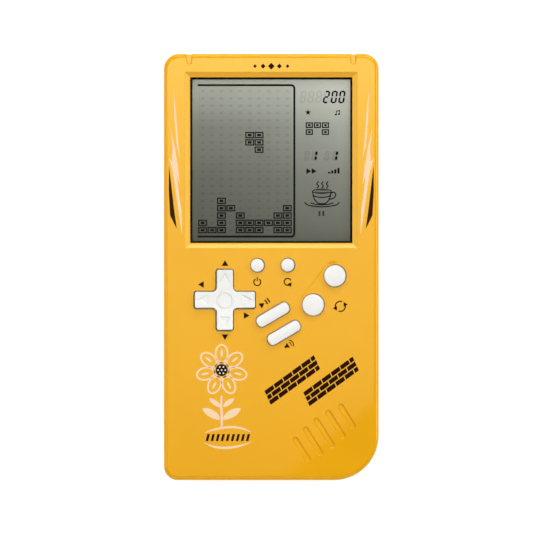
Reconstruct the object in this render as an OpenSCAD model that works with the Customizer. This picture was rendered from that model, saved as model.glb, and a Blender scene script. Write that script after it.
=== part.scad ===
// Handheld LCD game: a two-part case, a window and display stack, a keypad on a board and a battery bay.
// It lies on its back: +X to its right, +Y towards the screen end, +Z out of the screen.
// The origin is the middle of the back face. Every size is in millimetres.

/* [Case] */
// Width of the case
body_w = 90; // [90:0.5:94]
// Length of the case
body_l = 178.5; // [178:0.5:182]
// Thickness of the case, without the button caps
body_t = 21; // [21:0.1:21.4]
// Radius of the two corners beside the screen
top_corner_r = 6.4; // [6:0.1:7]
// Radius of the lower left corner
left_corner_r = 5.9; // [5.5:0.1:6.5]
// Radius of the large lower right corner
right_corner_r = 18.8; // [17:0.1:19]
// Rounding of the front and back edges
edge_r = 2; // [1.5:0.1:2.2]
// Wall thickness of the case
wall = 2; // [1.9:0.05:2.1]
// Height of the seam between the two shells
split_z = 9.5; // [9.2:0.1:9.8]

/* [Window] */
// Width of the window opening
window_w = 67.8; // [66:0.1:68]
// Length of the window opening
window_l = 69.3; // [68:0.1:69.4]
// Middle of the window along the case
window_y = 44.7; // [44.5:0.1:44.8]
// Width of the slope around the window
bevel_w = 1.7; // [1.2:0.1:1.9]
// Drop of the slope around the window
bevel_d = 1.1; // [0.8:0.1:1.3]
// Flat ledge between the slope and the opening
ledge_w = 0.5; // [0.3:0.1:0.6]
// Visible width of the black mask behind the window
mask_w = 0.8; // [0.5:0.1:1.2]

/* [Buttons] */
// Height of the button caps over the face
cap_rise = 1.6; // [1.2:0.1:2]
// How far a button can be pressed
travel = 1.2; // [0.8:0.1:1.3]
// Gap between a cap and its hole
hole_gap = 0.3; // [0.28:0.01:0.36]
// Radius of the two small round caps
small_r = 2.75; // [2.5:0.05:2.8]
// Radius of the two large round caps
large_r = 4.5; // [4.2:0.1:4.6]
// Length of the two bar caps
bar_l = 15; // [14:0.1:15.2]
// Width of the two bar caps
bar_w = 4.8; // [4.6:0.1:5]
// Turn of the two bar caps from level, in degrees
bar_turn = 30.6; // [29:0.1:32]
// Tip to tip size of the cross-shaped pad
pad_span = 25.1; // [24:0.1:25.2]
// Width of each arm of the pad
pad_arm = 6.7; // [6.6:0.1:7.2]

/* [Grip] */
// Number of finger grooves
groove_count = 5; // [1:2:5]
// Width of a finger groove
groove_w = 2.5; // [2:0.1:2.8]
// Depth of a finger groove
groove_d = 0.5; // [0.3:0.05:0.7]
// Length of the middle groove
groove_l = 14.8; // [12:0.1:15]

/* [Battery bay] */
// Diameter of one AA cell
cell_d = 14.5; // [14.3:0.1:14.5]
// Length of one AA cell with its button
cell_l = 50.5; // [49.5:0.1:50.5]
// Thickness of the battery door
door_t = 2; // [1.9:0.05:2]

/* [Hidden] */

eps = 0.01;
cut = 1;
fine = 96;
medium = 48;

// Heights, from the front face down
inner_z = body_t - wall;
lens_t = 1;
mask_t = 0.4;
film_t = 0.2;
glass_t = 1.1;
mask_z = inner_z - lens_t - mask_t;
polariser_z = mask_z - film_t;
front_glass_z = polariser_z - glass_t;
rear_glass_z = front_glass_z - glass_t;
reflector_z = rear_glass_z - film_t;
board_top = 13;
board_t = 1.6;
board_z = board_top - board_t;

// Display stack in plan
lens_overlap = 1.5;
lens_w = window_w + 2 * lens_overlap;
lens_l = window_l + 2 * lens_overlap;
view_w = window_w - 2 * mask_w;
view_l = window_l - 2 * mask_w;
glass_w = 70;
glass_l = 70.5;
contact_ledge = 3.2;

// Keypad: places of the buttons in plan
PAD_AT = [-19.5, -13.8];
POWER_AT = [-5.7, 0.7];
RESET_AT = [7, 0.8];
START_AT = [0.7, -19.9];
SOUND_AT = [5.3, -27.5];
ROTATE_UPPER_AT = [26.7, -3.7];
ROTATE_LOWER_AT = [17.6, -15.85];

// Keypad: caps sit loose in their holes, a little to one side
cap_shift = [-0.15, 0];
pad_shift = [0.15, 0.1];
pad_gap = hole_gap + 0.2;
flange_out = 1.2;
flange_t = 1.2;
flange_top = inner_z - 0.3;
stem_r = 1.8;
crown = 0.3;
bar_corner_r = 2;
recess_d = 0.4;
recess_gap = 1.15;
recess_side = 0.8;

// Keypad: rubber mats and domes on the board
mat_t = 0.8;
mat_top = board_top + mat_t;
dome_top = mat_top + 2.8;
dome_r = 3.2;
dome_rim_gap = 0.05;
stem_gap = 0.05;

// Pad: flange, pivot ball and pressing pins
pad_corner_r = 0.7;
pad_fillet = 2;
pad_flange_r = 13.6;
pad_flange_z = dome_top + 0.25;
pad_flange_t = 0.85;
pad_top = body_t + cap_rise + 0.1;
pad_dish = 0.6;
pad_dome_at = 9.3;
pad_pin_gap = 0.15;
pivot_r = 1.8;
pivot_gap = 0.2;
pivot_z = 17;
pivot_post_gap = 0.1;
pad_ring_r = 3.5;
pad_ring_w = 0.6;
pad_ring_h = 0.25;
arrow_side = 3.9;
arrow_d = 0.3;
arrow_at = 8.4;
arrow_lean = 1;

// Finger grooves: middle one, step from one to the next, and their turn
groove_mid = [22.2, -69.4];
groove_pitch = 5.87;
groove_row_turn = 36.3;
groove_turn = -57.5;
groove_taper = 0.65;
groove_side = 0.4;

// Top edge notches
notch_x = 34.3;
notch_w = 2.5;
notch_l = 4.6;
notch_d = 0.4;
notch_side = 0.35;

// Case screws: four corners and two beside the board
boss_in = 5.8;
screw_r = 1.3;
screw_l = 10;
head_r = 2.4;
head_t = 1.8;
well_r = 2.9;
well_floor = 3;
rear_boss_r = 4.2;
front_boss_r = 2.8;
thread_gap = 0.02;
right_arc = [body_w / 2 - right_corner_r, right_corner_r - body_l / 2];
right_boss = right_arc + 13.58 * [cos(45), -sin(45)];
BOSSES = [
    [boss_in - body_w / 2, body_l / 2 - boss_in - 0.25],
    [body_w / 2 - boss_in, body_l / 2 - boss_in - 0.25],
    [boss_in - body_w / 2, 5],
    [body_w / 2 - boss_in, 5],
    [boss_in - body_w / 2, boss_in + 0.25 - body_l / 2],
    right_boss
];

// Board screws
BOARD_POSTS = [[-24, 83.6], [24, 83.6], [-33.4, 3.5], [33.4, 3.5], [-29, -33], [33, -33]];
board_post_r = 2.1;
board_screw_r = 1;
board_head_r = 1.9;
board_head_t = 1.2;
board_screw_l = 5;
board_w = 72;
board_bottom = -37;
board_end = 86;

// Lip of the rear shell inside the front shell
lip_h = 1.5;
lip_in = 1.1;
lip_gap = 0.15;

// Battery bay
bay_x = -2.5;
bay_y = -58;
bay_l = cell_l + 6.5;
bay_w = 2 * cell_d + 1;
bay_wall = 1.2;
bay_top = 17.3;
cell_gap = 0.2;
cell_r = cell_d / 2;
cell_z = door_t + 0.5 + cell_r;
plate_t = 0.5;
spring_l = bay_l - 2 * plate_t - cell_l;
bay_x0 = bay_x - bay_l / 2;
bay_x1 = bay_x + bay_l / 2;
cell_upper_y = bay_y + cell_r + cell_gap;
cell_lower_y = bay_y - cell_r - cell_gap;

// Battery door: it slides out of the end of the case
door_gap = 0.15;
door_x0 = bay_x - 30.5;
door_x1 = bay_x + 30.5;
door_inner_y = -40.3;
tongue_w = 1.4;
tongue_z = 1.1;
hook_l = 2;
bed_t = 1.2;
bed_z = door_t + door_gap;

// Buzzer
BUZZER_AT = [0, 56];
buzzer_r = 13.5;
buzzer_t = 0.25;
buzzer_seat_z = wall + 1;
ceramic_r = 9.5;
grille_r = 0.9;
grille_ring = 4;

// Leads
lead_r = 0.6;
buzzer_lead_r = 0.45;
tab_w = 4;
tab_z = 8.8;
tab_out = 3.6;
lead_step = 1.5;

// Quadrants of the plan, in turn from the first one
QUADRANTS = [[1, 1], [-1, 1], [-1, -1], [1, -1]];
function corner_r(q) = q[1] > 0 ? top_corner_r : q[0] > 0 ? right_corner_r : left_corner_r;
function corner_at(q) = [
    q[0] * (body_w / 2 - corner_r(q)),
    q[1] * (body_l / 2 - corner_r(q))
];

// ---------- shared shapes ----------

// Upright section from the axis out to r, with its top outer edge rounded
module edge_section(r, height, edge) {
    difference() {
        square([r, height]);
        if (edge > 0)
            translate([r - edge, height - edge]) difference() {
                square(edge + cut);
                circle(edge, $fn = fine);
            }
    }
}

// The case outline, drawn inset from the outside, as a block with a rounded upper edge
module case_block(inset, height, edge = 0) {
    band = max(edge, 1);
    inner = inset + band;
    half_w = body_w / 2 - inner;
    half_l = body_l / 2 - inner;
    linear_extrude(height) polygon([
        for (q = QUADRANTS)
            let (
                c = corner_at(q),
                beside = [q[0] * half_w, c[1]],
                above = [c[0], q[1] * half_l]
            )
            each q[0] * q[1] > 0 ? [beside, c, above] : [above, c, beside]
    ]);
    for (k = [0:3]) {
        here = corner_at(QUADRANTS[k]);
        next = corner_at(QUADRANTS[(k + 1) % 4]);
        level = k % 2 == 0;
        start = level ? [here[0], QUADRANTS[k][1] * half_l] : [QUADRANTS[k][0] * half_w, here[1]];
        run = level ? abs(here[0] - next[0]) : abs(here[1] - next[1]);
        translate(here) rotate(90 * k)
            rotate_extrude(angle = 90, $fn = fine)
                edge_section(corner_r(QUADRANTS[k]) - inset, height, edge);
        translate(start) rotate(90 * (k + 1)) rotate([90, 0, 0]) mirror([0, 0, 1])
            linear_extrude(run) edge_section(band, height, edge);
    }
}

// A flat block with round corners, centred in plan
module rounded_block(w, l, r, h) {
    for (sx = [-1, 1], sy = [-1, 1])
        translate([sx * (w / 2 - r), sy * (l / 2 - r), 0]) cylinder(r = r, h = h, $fn = medium);
    translate([r - w / 2, -l / 2, 0]) cube([w - 2 * r, l, h]);
    translate([-w / 2, r - l / 2, 0]) cube([w, l - 2 * r, h]);
}

// A slot with round ends, w wide at its floor, whose sides lean out by grow in each unit of height
module sloped_slot(l, w, h, grow) {
    r = w / 2 - eps;
    for (s = [-1, 1]) translate([s * (l - w) / 2, 0, 0])
        cylinder(r1 = r, r2 = r + grow * h, h = h, $fn = medium);
    rotate([90, 0, 90]) linear_extrude(l - w, center = true)
        polygon([[-w / 2, 0], [w / 2, 0], [w / 2 + grow * h, h], [-w / 2 - grow * h, h]]);
}

// A plain block between two corners
module block_between(low, high) {
    translate(low) cube(high - low);
}

// A flat block centred in plan
module flat(w, l, h) {
    translate([-w / 2, -l / 2, 0]) cube([w, l, h]);
}

// The cross of the pad: two arms with filleted inner corners
module cross(span, arm, corner, fillet, h) {
    rounded_block(span, arm, corner, h);
    rounded_block(arm, span, corner, h);
    for (k = [0:3])
        rotate(90 * k) translate([arm / 2, arm / 2, 0]) difference() {
            cube([fillet, fillet, h]);
            translate([fillet, fillet, -cut]) cylinder(r = fillet, h = h + 2 * cut, $fn = medium);
        }
}

// A tube standing on z = 0
module tube(outer, inner, h) {
    difference() {
        cylinder(r = outer, h = h, $fn = medium);
        translate([0, 0, -cut]) cylinder(r = inner, h = h + 2 * cut, $fn = medium);
    }
}

// The opening of the window with its sloped surround, from the ledge up
module window_slope() {
    bottom = body_t - bevel_d;
    over = 0.5;
    grow = bevel_w * (bevel_d + over) / bevel_d;
    half_w = window_w / 2 + ledge_w;
    half_l = window_l / 2 + ledge_w;
    translate([0, window_y, bottom]) intersection() {
        rotate([90, 0, 0]) linear_extrude(2 * body_w, center = true) polygon([
            [-half_w, 0], [half_w, 0],
            [half_w + grow, bevel_d + over], [-half_w - grow, bevel_d + over]
        ]);
        rotate([90, 0, 90]) linear_extrude(2 * body_w, center = true) polygon([
            [-half_l, 0], [half_l, 0],
            [half_l + grow, bevel_d + over], [-half_l - grow, bevel_d + over]
        ]);
    }
}

// ---------- case ----------

// Cuts of every button hole through the face
module button_holes() {
    deep = wall + 2 * cut;
    translate([0, 0, inner_z - cut]) {
        translate(PAD_AT) cross(pad_span + 2 * pad_gap, pad_arm + 2 * pad_gap,
            pad_corner_r + pad_gap, pad_fillet - pad_gap, deep);
        for (at = [POWER_AT, RESET_AT])
            translate(at) cylinder(r = small_r + hole_gap, h = deep, $fn = medium);
        for (at = [ROTATE_UPPER_AT, ROTATE_LOWER_AT])
            translate(at) cylinder(r = large_r + hole_gap, h = deep, $fn = medium);
        for (at = [START_AT, SOUND_AT])
            translate(at) rotate(bar_turn) rounded_block(bar_l + 2 * hole_gap,
                bar_w + 2 * hole_gap, bar_corner_r + hole_gap, deep);
    }
}

// The shallow recess that joins the two large round buttons
module rotate_recess() {
    step = ROTATE_UPPER_AT - ROTATE_LOWER_AT;
    r = large_r + recess_gap;
    translate((ROTATE_UPPER_AT + ROTATE_LOWER_AT) / 2) translate([0, 0, body_t - recess_d])
        rotate(atan2(step[1], step[0]))
            sloped_slot(norm(step) + 2 * r, 2 * r, cut, recess_side / recess_d);
}

module finger_grooves() {
    side = (groove_count - 1) / 2;
    for (i = [-side:side])
        translate(groove_mid + i * groove_pitch * [cos(groove_row_turn), sin(groove_row_turn)])
            translate([0, 0, body_t - groove_d]) rotate(groove_turn)
                sloped_slot(groove_l - groove_taper * i * i - 2 * groove_side,
                    groove_w - 2 * groove_side, cut, groove_side / groove_d);
}

// Two notches that run down the face and over the end of the case
module end_notches(z0, z1) {
    end = body_l / 2;
    half = notch_w / 2 - notch_side;
    for (s = [-1, 1]) translate([s * notch_x, 0, 0]) {
        block_between([-half, end - notch_d, z0], [half, end + cut, z1]);
        if (z1 > body_t)
            translate([0, end, body_t - notch_d]) rotate(90)
                sloped_slot(2 * (notch_l - notch_side), 2 * half, cut, notch_side / notch_d);
    }
}

// Posts inside the front shell for the case screws and the board screws
module front_posts() {
    for (at = BOSSES) translate([at[0], at[1], split_z + eps])
        tube(front_boss_r, screw_r + thread_gap, inner_z - split_z);
    for (at = BOARD_POSTS) translate([at[0], at[1], board_top])
        tube(board_post_r, board_screw_r + thread_gap, inner_z - board_top + eps);
}

// Ribs that keep the window and the glass in place
module display_ribs() {
    rib = 1.1;
    side_x = lens_w / 2 + 0.15;
    top_y = window_y + lens_l / 2 + 0.15;
    for (s = [0, 1]) mirror([s, 0, 0])
        block_between([side_x, 20, rear_glass_z], [side_x + rib, 70, inner_z + eps]);
    block_between([-20, top_y, front_glass_z], [20, top_y + rib, inner_z + eps]);
    block_between([-28, 5, front_glass_z], [28, 5 + rib, inner_z + eps]);
}

module front_shell() {
    color([0.96, 0.71, 0.22]) difference() {
        union() {
            difference() {
                translate([0, 0, split_z]) case_block(0, body_t - split_z, edge_r);
                translate([0, 0, split_z - cut]) case_block(wall, inner_z - split_z + cut);
                translate([0, 0, split_z - cut]) case_block(lip_in - lip_gap, lip_h + lip_gap + cut);
            }
            front_posts();
            display_ribs();
        }
        window_slope();
        translate([0, window_y, inner_z - cut]) flat(window_w, window_l, wall);
        translate([0, window_y, body_t - bevel_d])
            flat(window_w + 2 * ledge_w, window_l + 2 * ledge_w, cut / 2);
        button_holes();
        rotate_recess();
        finger_grooves();
        end_notches(split_z - cut, body_t + cut);
    }
}

// Walls of the battery bay, closed towards the front
module bay_walls() {
    block_between([bay_x0 - bay_wall, bay_y - bay_w / 2 - bay_wall, bed_z],
        [bay_x1 + bay_wall, bay_y + bay_w / 2 + bay_wall, bay_top + bay_wall]);
}

module bay_inside() {
    block_between([bay_x0, bay_y - bay_w / 2, 0], [bay_x1, bay_y + bay_w / 2, bay_top]);
    // slots for the two solder tabs
    for (y = [cell_upper_y, cell_lower_y])
        block_between([bay_x0 - bay_wall - cut, y - tab_w / 2 - 0.2, tab_z - 0.2],
            [bay_x0 + cut, y + tab_w / 2 + 0.2, tab_z + plate_t + 0.2]);
}

// The plate above the door, which its tongues slide under
module door_bed() {
    block_between([door_x0 - tongue_w - 1.6, wall / 2 - body_l / 2, bed_z],
        [door_x1 + tongue_w + 1.6, door_inner_y + hook_l + 1.6, bed_z + bed_t]);
}

// Room for the door: the plate itself and the grooves for its tongues
module door_room() {
    out_y = -body_l / 2 - cut;
    block_between([door_x0 - door_gap, out_y, -cut],
        [door_x1 + door_gap, door_inner_y + door_gap, bed_z]);
    block_between([door_x0 - tongue_w - door_gap, out_y, tongue_z - door_gap],
        [door_x1 + tongue_w + door_gap, door_inner_y + door_gap, bed_z]);
    block_between([door_x0 + 8 - door_gap, door_inner_y - cut, tongue_z - door_gap],
        [door_x1 - 8 + door_gap, door_inner_y + hook_l + door_gap, bed_z]);
}

module buzzer_seat() {
    translate([BUZZER_AT[0], BUZZER_AT[1], wall - eps]) {
        tube(buzzer_r + 1.5, buzzer_r + 0.1, 1.4);
        tube(buzzer_r + 0.5, buzzer_r - 1.5, buzzer_seat_z - wall + eps);
    }
}

module grille_holes() {
    translate(BUZZER_AT) {
        translate([0, 0, -cut]) cylinder(r = grille_r, h = wall + 2 * cut, $fn = 24);
        for (k = [0:5]) rotate(60 * k) translate([grille_ring, 0, -cut])
            cylinder(r = grille_r, h = wall + 2 * cut, $fn = 24);
    }
}

module rear_shell() {
    label = [0, 18];
    color([0.93, 0.67, 0.19]) difference() {
        union() {
            difference() {
                translate([0, 0, split_z]) mirror([0, 0, 1]) case_block(0, split_z, edge_r);
                translate([0, 0, wall]) case_block(wall, split_z);
            }
            difference() {
                translate([0, 0, split_z - cut]) case_block(lip_in, lip_h + cut);
                translate([0, 0, split_z - 2 * cut]) case_block(wall, lip_h + 3 * cut);
            }
            for (at = BOSSES) translate([at[0], at[1], wall / 2])
                cylinder(r = rear_boss_r, h = split_z - wall / 2, $fn = medium);
            bay_walls();
            door_bed();
            buzzer_seat();
        }
        for (at = BOSSES) translate([at[0], at[1], -cut]) {
            cylinder(r = well_r, h = split_z - well_floor + cut, $fn = medium);
            cylinder(r = screw_r + 0.2, h = split_z + 2 * cut, $fn = medium);
        }
        bay_inside();
        door_room();
        grille_holes();
        translate([label[0], label[1], -cut]) rounded_block(48, 26, 2, cut + 0.3);
        end_notches(-cut, split_z + cut);
    }
}

// Door plate cut from the outer case, with side tongues, an inner hook and a thumb grip
module battery_door() {
    grip_y = -80;
    color([0.93, 0.67, 0.19]) difference() {
        union() {
            intersection() {
                translate([0, 0, split_z]) mirror([0, 0, 1]) case_block(0, split_z, edge_r);
                block_between([door_x0, -body_l, 0], [door_x1, door_inner_y, door_t]);
            }
            block_between([door_x0 - tongue_w, -84, tongue_z], [door_x1 + tongue_w, door_inner_y, door_t]);
            block_between([door_x0 + 8, door_inner_y - cut, tongue_z],
                [door_x1 - 8, door_inner_y + hook_l, door_t]);
        }
        for (i = [0:4])
            translate([bay_x, grip_y + 2.2 * i, -cut]) rounded_block(16 - 1.6 * i, 1, 0.48, cut + 0.5);
        translate([bay_x, grip_y - 3.2, -cut]) rotate(-90) cylinder(r = 2, h = cut + 0.5, $fn = 3);
    }
}

// Self-tapping screw, head down, with a cross recess
module screw(shank, length, head, head_h) {
    root = head_h / 4;
    difference() {
        union() {
            translate([0, 0, -root]) cylinder(r = shank, h = root + length, $fn = 24);
            translate([0, 0, -head_h]) cylinder(r = head, h = head_h, $fn = medium);
        }
        for (turn = [0, 90]) rotate(turn)
            translate([-head * 0.6, -head * 0.13, -head_h - cut])
                cube([head * 1.2, head * 0.26, cut + head_h * 0.5]);
    }
}

module case_screws() {
    color([0.75, 0.75, 0.77]) for (at = BOSSES)
        translate([at[0], at[1], split_z - well_floor]) screw(screw_r, screw_l, head_r, head_t);
}

// ---------- display ----------

module window_lens() {
    color([0.8, 0.82, 0.8, 0.3]) translate([0, window_y, inner_z - lens_t])
        rounded_block(lens_w, lens_l, 1, lens_t);
}

module lcd_mask() {
    color([0.04, 0.04, 0.04]) translate([0, window_y, mask_z]) difference() {
        flat(glass_w, glass_l, mask_t);
        translate([0, 0, -cut]) flat(view_w, view_l, mask_t + 2 * cut);
    }
}

module lcd_polariser() {
    color([0.5, 0.52, 0.47, 0.5]) translate([0, window_y, polariser_z])
        flat(glass_w - 1, glass_l - 1, film_t);
}

module lcd_front_glass() {
    color([0.7, 0.76, 0.72, 0.4])
        translate([0, window_y - contact_ledge / 2, front_glass_z])
            flat(glass_w, glass_l + contact_ledge, glass_t);
}

module lcd_rear_glass() {
    color([0.7, 0.76, 0.72, 0.4]) translate([0, window_y, rear_glass_z])
        flat(glass_w, glass_l, glass_t);
}

module lcd_reflector() {
    color([0.6, 0.61, 0.56]) translate([0, window_y, reflector_z])
        flat(glass_w - 1, glass_l - 1, film_t);
}

module lcd_foam_pad() {
    color([0.85, 0.85, 0.82]) translate([0, window_y, board_top])
        rounded_block(66, 66, 2, reflector_z - board_top);
}

module zebra_strip() {
    color([0.75, 0.45, 0.45])
        translate([0, window_y - glass_l / 2 - contact_ledge / 2, board_top])
            flat(66, 2.2, front_glass_z - board_top);
}

// ---------- keypad ----------

// Round cap with a crowned top, a flange under the face and a stem down to its dome
module round_button(at, r) {
    top = body_t + cap_rise;
    ball_r = r * r / (2 * crown);
    color([0.95, 0.95, 0.93]) translate(at) {
        intersection() {
            translate([0, 0, flange_top - eps]) cylinder(r = r, h = top - flange_top + cut, $fn = fine);
            translate([0, 0, top - ball_r]) sphere(r = ball_r, $fn = 2 * fine);
        }
        translate([0, 0, flange_top - flange_t]) cylinder(r = r + flange_out, h = flange_t, $fn = fine);
        translate([0, 0, dome_top + stem_gap])
            cylinder(r = stem_r, h = flange_top - dome_top - flange_t, $fn = medium);
    }
}

// Bar cap with round corners and a crowned top
module bar_button(at) {
    top = body_t + cap_rise;
    roller_r = bar_w * bar_w / (8 * crown);
    color([0.95, 0.95, 0.93]) translate(at) {
        rotate(bar_turn) {
            intersection() {
                translate([0, 0, flange_top - eps])
                    rounded_block(bar_l, bar_w, bar_corner_r, top - flange_top + cut);
                translate([-bar_l, 0, top - roller_r]) rotate([0, 90, 0])
                    cylinder(r = roller_r, h = 2 * bar_l, $fn = 2 * fine);
            }
            translate([0, 0, flange_top - flange_t])
                rounded_block(bar_l + 2 * flange_out, bar_w + 2 * flange_out,
                    bar_corner_r + flange_out, flange_t);
        }
        translate([0, 0, dome_top + stem_gap])
            cylinder(r = stem_r, h = flange_top - dome_top - flange_t, $fn = medium);
    }
}

// A triangular pit whose point is towards +X and whose sides lean out
module arrow_pit() {
    reach = arrow_side / sqrt(12);
    far = 2 * arrow_side;
    intersection() {
        arrow_wall(reach, far);
        rotate(120) arrow_wall(reach, far);
        rotate(240) arrow_wall(reach, far);
    }
}

// Everything to the right of one leaning side of the pit
module arrow_wall(reach, far) {
    rotate([90, 0, 0]) linear_extrude(2 * far, center = true)
        polygon([[-reach, 0], [far, 0], [far, cut], [-reach - arrow_lean * cut, cut]]);
}

// Cross pad: dished arms, a ring at the middle, an arrow dimple on each arm and a socket underneath
module dpad() {
    rim_r = pad_span / 2 + 0.5;
    dish_r = (pow(rim_r, 2) + pow(pad_dish, 2)) / (2 * pad_dish);
    mid_z = pad_top - pad_dish;
    arrow_floor = mid_z + pow(arrow_at, 2) / (2 * dish_r) - arrow_d;
    color([0.95, 0.95, 0.93]) translate(PAD_AT + pad_shift) difference() {
        union() {
            difference() {
                translate([0, 0, pad_flange_z])
                    cross(pad_span, pad_arm, pad_corner_r, pad_fillet, pad_top - pad_flange_z);
                translate([0, 0, mid_z + dish_r]) sphere(r = dish_r, $fn = 4 * fine);
                for (k = [0:3]) rotate(90 * k) translate([arrow_at, 0, arrow_floor]) arrow_pit();
            }
            translate([0, 0, pad_flange_z]) cylinder(r = pad_flange_r, h = pad_flange_t, $fn = fine);
            translate([0, 0, mid_z - 1]) tube(pad_ring_r, pad_ring_r - pad_ring_w, 1 + pad_ring_h);
            for (k = [0:3]) rotate(90 * k) translate([pad_dome_at, 0, dome_top + pad_pin_gap])
                cylinder(r = 1.5, h = pad_flange_z - dome_top, $fn = medium);
        }
        translate([0, 0, pivot_z]) sphere(r = pivot_r + pivot_gap, $fn = medium);
        translate([0, 0, pad_flange_z - cut])
            cylinder(r = pivot_r + pivot_gap - eps, h = pivot_z - pad_flange_z + cut, $fn = medium);
    }
}

module dpad_pivot() {
    color([0.95, 0.95, 0.93]) translate(PAD_AT + pad_shift) translate([0, 0, pivot_z])
        sphere(r = pivot_r, $fn = medium);
}

// Conducting rubber dome, hollow under its crown
module dome(at, r = dome_r) {
    color([0.78, 0.78, 0.76]) translate([at[0], at[1], board_top])
        rotate_extrude($fn = medium) polygon([
            [r - 1, 0], [r, 0], [r, mat_t], [r * 0.86, mat_t + 0.2],
            [r * 0.66, dome_top - board_top - 0.5], [r * 0.6, dome_top - board_top],
            [0, dome_top - board_top], [0, 1.3], [1.5, 1.3], [1.5, 1.7], [r * 0.5, 1.7], [r - 1, mat_t]
        ]);
}

module mat_holes(places, r = dome_r) {
    for (at = places) translate([at[0], at[1], board_top - cut])
        cylinder(r = r + dome_rim_gap, h = mat_t + 2 * cut, $fn = medium);
}

PAD_MID = PAD_AT + pad_shift;
PAD_DOMES = [for (k = [0:3]) PAD_MID + pad_dome_at * [cos(90 * k), sin(90 * k)]];
ACTION_DOMES = [POWER_AT, RESET_AT, START_AT, SOUND_AT, ROTATE_UPPER_AT, ROTATE_LOWER_AT];

module dpad_mat() {
    post_top = pivot_z - pivot_r - pivot_post_gap;
    color([0.82, 0.82, 0.8]) difference() {
        translate([PAD_MID[0], PAD_MID[1], board_top]) {
            cylinder(r = 14.2, h = mat_t, $fn = fine);
            cylinder(r = 1.6, h = post_top - board_top, $fn = medium);
        }
        mat_holes(PAD_DOMES);
    }
}

module action_mat() {
    color([0.82, 0.82, 0.8]) difference() {
        union() {
            block_between([-3.9, -32, board_top], [30.5, 4.6, mat_top]);
            block_between([-10, -2.9, board_top], [-3.9 + eps, 4.6, mat_top]);
        }
        mat_holes(ACTION_DOMES);
    }
}

// ---------- electronics ----------

module main_board() {
    color([0.1, 0.36, 0.2]) difference() {
        translate([0, (board_bottom + board_end) / 2, board_z])
            rounded_block(board_w, board_end - board_bottom, 1.5, board_t);
        for (at = BOARD_POSTS) translate([at[0], at[1], board_z - cut])
            cylinder(r = board_screw_r + 0.1, h = board_t + 2 * cut, $fn = 24);
    }
}

module board_screws() {
    color([0.75, 0.75, 0.77]) for (at = BOARD_POSTS)
        translate([at[0], at[1], board_z])
            screw(board_screw_r, board_screw_l, board_head_r, board_head_t);
}

// Black resin cap over the game chip, on the back of the board
module game_chip() {
    cap_h = 1.7;
    cap_r = 9;
    ball_r = (cap_r * cap_r + cap_h * cap_h) / (2 * cap_h);
    color([0.06, 0.06, 0.07]) translate([0, 22, board_z - cap_h]) intersection() {
        translate([0, 0, ball_r]) sphere(r = ball_r, $fn = 2 * fine);
        cylinder(r = cap_r + 1, h = cap_h, $fn = medium);
    }
}

module capacitor() {
    color([0.12, 0.16, 0.35]) translate([19, 4, board_z - 7.2]) {
        cylinder(r = 2.5, h = 7, $fn = medium);
        for (s = [-1, 1]) translate([s, 0, 7 - eps]) cylinder(r = 0.25, h = 0.2 + eps, $fn = 24);
    }
}

module transistor() {
    color([0.08, 0.08, 0.08]) translate([-14, 6, board_z - 5.2]) {
        intersection() {
            cylinder(r = 2.3, h = 4.4, $fn = medium);
            block_between([-3, -1.2, 0], [3, 3, 4.4]);
        }
        for (i = [-1:1]) translate([i * 1.27 - 0.2, 0, 4.4 - eps]) cube([0.4, 0.4, 0.8 + eps]);
    }
}

// Small resistors in a row on the back of the board
module resistors() {
    color([0.75, 0.62, 0.42]) for (i = [0:3]) translate([6 + 3.2 * i, -12, board_z - 1.2]) {
        translate([0, -1.8, 0]) rotate([-90, 0, 0]) cylinder(r = 0.8, h = 3.6, $fn = 24);
        for (s = [-1, 1]) translate([-0.25, s * 2.6 - 0.25, -0.25]) cube([0.5, 0.5, 1.45]);
        translate([-0.2, -2.8, -0.2]) cube([0.4, 5.6, 0.4]);
    }
}

module buzzer_disc() {
    color([0.8, 0.65, 0.3]) translate([BUZZER_AT[0], BUZZER_AT[1], buzzer_seat_z])
        cylinder(r = buzzer_r, h = buzzer_t, $fn = fine);
}

module buzzer_ceramic() {
    color([0.88, 0.86, 0.8]) translate([BUZZER_AT[0], BUZZER_AT[1], buzzer_seat_z + buzzer_t])
        cylinder(r = ceramic_r, h = buzzer_t, $fn = fine);
}

// Lead that runs along Y from a start point, then bends up to a height
module lead(start, end_y, end_z, r) {
    bend = min(4 * r, end_z - start[2] - r / 2);
    run = abs(end_y - start[1]) - bend;
    translate(start) rotate(end_y < start[1] ? 180 : 0) {
        rotate([-90, 0, 0]) cylinder(r = r, h = run, $fn = 24);
        translate([0, run, bend]) rotate([90, 0, 90]) rotate(-90)
            rotate_extrude(angle = 90, $fn = medium) translate([bend, 0]) circle(r, $fn = 24);
        translate([0, run + bend, bend]) cylinder(r = r, h = end_z - start[2] - bend, $fn = 24);
    }
}

module buzzer_leads() {
    z = buzzer_seat_z + 2 * buzzer_t + buzzer_lead_r + eps;
    color([0.7, 0.1, 0.08]) for (s = [-1, 1])
        lead([BUZZER_AT[0] + 3 * s, BUZZER_AT[1] - 4, z], 34, board_z, buzzer_lead_r);
}

// ---------- battery bay ----------

// AA cell along X with its button towards +X
module cell() {
    button_h = 1;
    color([0.2, 0.22, 0.25]) rotate([0, 90, 0]) {
        cylinder(r = cell_r, h = cell_l - button_h, $fn = fine);
        translate([0, 0, cell_l - button_h - eps]) cylinder(r = 2.7, h = button_h + eps, $fn = medium);
    }
}

module battery_upper() {
    translate([bay_x0 + plate_t + cell_l, cell_upper_y, cell_z]) rotate(180) cell();
}

module battery_lower() {
    translate([bay_x1 - plate_t - cell_l, cell_lower_y, cell_z]) cell();
}

// End plate at the left of the bay with a solder tab through the wall
module end_plate(y, tab) {
    translate([bay_x0, y, 0]) {
        block_between([0, -5, 4], [plate_t, 5, 15]);
        block_between([-tab, -tab_w / 2, tab_z], [eps, tab_w / 2, tab_z + plate_t]);
    }
}

module positive_contact() {
    color([0.8, 0.8, 0.78]) end_plate(cell_upper_y, tab_out);
}

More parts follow.
